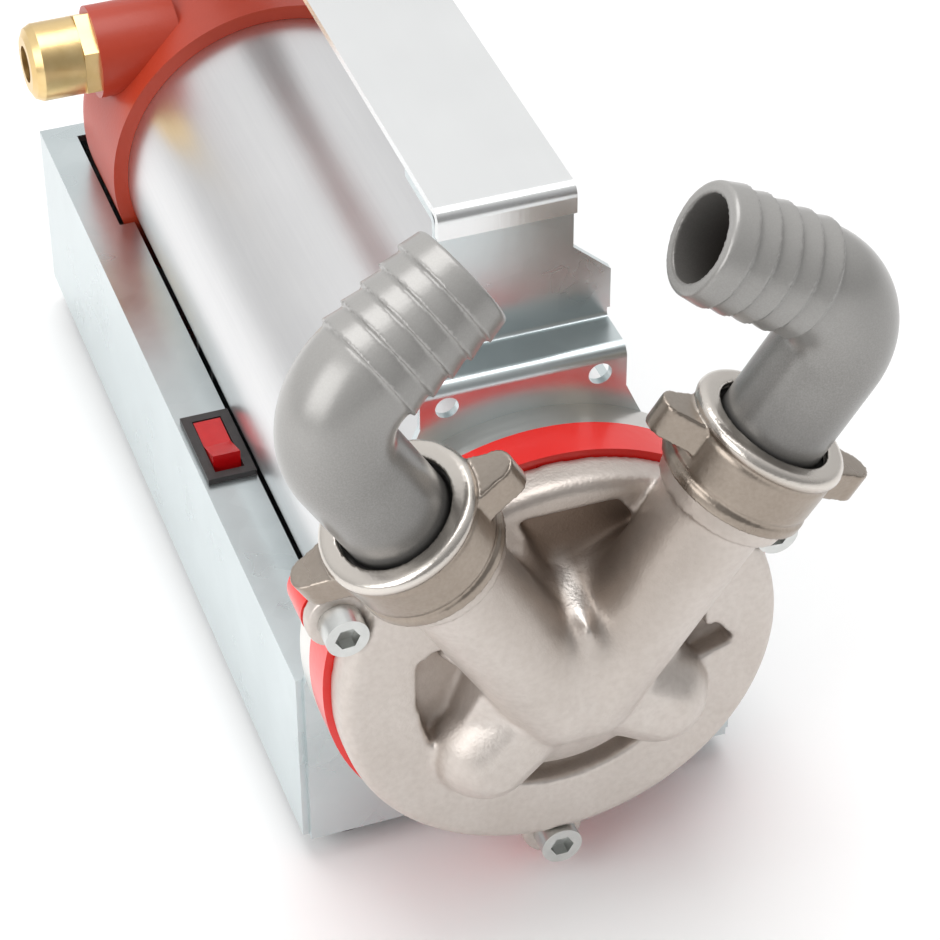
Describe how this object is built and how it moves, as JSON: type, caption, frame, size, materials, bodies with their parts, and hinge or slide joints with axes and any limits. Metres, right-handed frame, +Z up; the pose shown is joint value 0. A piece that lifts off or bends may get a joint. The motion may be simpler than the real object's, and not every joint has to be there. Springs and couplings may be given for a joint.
{
  "type": "electric transfer pump",
  "caption": "Portable electric transfer pump: cast pump housing with two ports in a V, swivelling barbed hose elbows, motor tube, sheet-metal base and carrying handle.",
  "frame": {"origin": "on the floor below the middle of the bounding box", "axes": "+Z up, +Y from the pump housing to the rear of the motor along the pump axis, +X to the right seen from the pump housing"},
  "size_m": [0.1359, 0.3052, 0.1999],
  "materials": {
    "cast_stainless": "bead-blasted cast stainless steel",
    "red_paint": "bright red gloss paint",
    "bright_flange": "turned bare aluminium",
    "tube_metal": "smooth satin aluminium",
    "cap_plastic": "satin red-orange plastic",
    "elbow_plastic": "satin grey plastic",
    "zinc_sheet": "bright zinc-plated sheet steel",
    "handle_metal": "smooth bright sheet steel",
    "steel_parts": "bright zinc-plated steel",
    "bearing_steel": "ground bearing steel",
    "lamination": "laminated electrical steel",
    "cast_cage": "die-cast aluminium cage",
    "copper_winding": "lacquered copper wire",
    "brass": "bright brass",
    "black_rubber": "soft black rubber",
    "seal_ceramic": "white ceramic",
    "seal_carbon": "carbon seal ring in a steel cup",
    "black_plastic": "moulded black plastic",
    "red_rocker": "glossy red plastic",
    "pale_plastic": "cream plastic"
  },
  "bodies": {
    "frame": {"pump_housing": "cast_stainless", "housing_o_ring": "black_rubber", "impeller_cam": "cast_stainless", "cam_screw": "steel_parts", "wear_plate": "cast_stainless", "lantern": "red_paint", "seal_seat": "seal_ceramic", "housing_screws": "steel_parts", "port_gaskets": "black_rubber", "motor_flange": "bright_flange", "motor_tube": "tube_metal", "rear_shield": "bright_flange", "tie_rods": "steel_parts", "stator_core": "lamination", "stator_winding": "copper_winding", "bearing_outer_races": "bearing_steel", "terminal_block": "pale_plastic", "end_cap": "cap_plastic", "cap_screws": "steel_parts", "cable_gland_body": "brass", "cable_gland_nut": "brass", "cable_gland_seal": "black_rubber", "front_bracket": "zinc_sheet", "handle_strap": "handle_metal", "handle_screws": "steel_parts", "base_tray": "zinc_sheet", "tray_screws": "steel_parts", "motor_saddle": "zinc_sheet", "capacitor": "pale_plastic", "capacitor_clip": "zinc_sheet", "rubber_feet": "black_rubber", "foot_screws": "steel_parts", "switch_bezel": "black_plastic", "switch_terminals": "brass"},
    "rotor": {"shaft": "steel_parts", "impeller_hub": "brass", "impeller_vanes": "black_rubber", "impeller_circlip": "steel_parts", "seal_head": "seal_carbon", "seal_spring": "steel_parts", "slinger_ring": "black_rubber", "bearing_inner_races": "bearing_steel", "bearing_balls": "bearing_steel", "rotor_core": "lamination", "rotor_end_rings": "cast_cage"},
    "left_nut": {"left_union_nut": "cast_stainless"},
    "right_nut": {"right_union_nut": "cast_stainless"},
    "left_elbow": {"left_hose_elbow": "elbow_plastic"},
    "right_elbow": {"right_hose_elbow": "elbow_plastic"},
    "rocker": {"switch_rocker": "red_rocker"}
  },
  "joints": [
    {"name": "rotor_spin", "type": "hinge", "parent": "frame", "child": "rotor", "pos_m": [0, 0.00271, 0.07], "axis": [0, 1, 0], "continuous": true},
    {"name": "left_nut_turn", "type": "hinge", "parent": "frame", "child": "left_nut", "pos_m": [-0.03875, -0.13342, 0.12924], "axis": [-0.5, -0.092, 0.8611], "range_deg": [0, 90]},
    {"name": "left_elbow_swivel", "type": "hinge", "parent": "frame", "child": "left_elbow", "pos_m": [-0.0535, -0.13614, 0.15464], "axis": [-0.5, -0.092, 0.8611], "continuous": true},
    {"name": "right_nut_turn", "type": "hinge", "parent": "frame", "child": "right_nut", "pos_m": [0.03875, -0.13342, 0.12924], "axis": [0.5, -0.092, 0.8611], "range_deg": [0, 90]},
    {"name": "right_elbow_swivel", "type": "hinge", "parent": "frame", "child": "right_elbow", "pos_m": [0.0535, -0.13614, 0.15464], "axis": [0.5, -0.092, 0.8611], "continuous": true},
    {"name": "switch_rocker_tip", "type": "hinge", "parent": "frame", "child": "rocker", "pos_m": [-0.0477, -0.00629, 0.055], "axis": [1, 0, 0], "range_deg": [0, 20]}
  ]
}
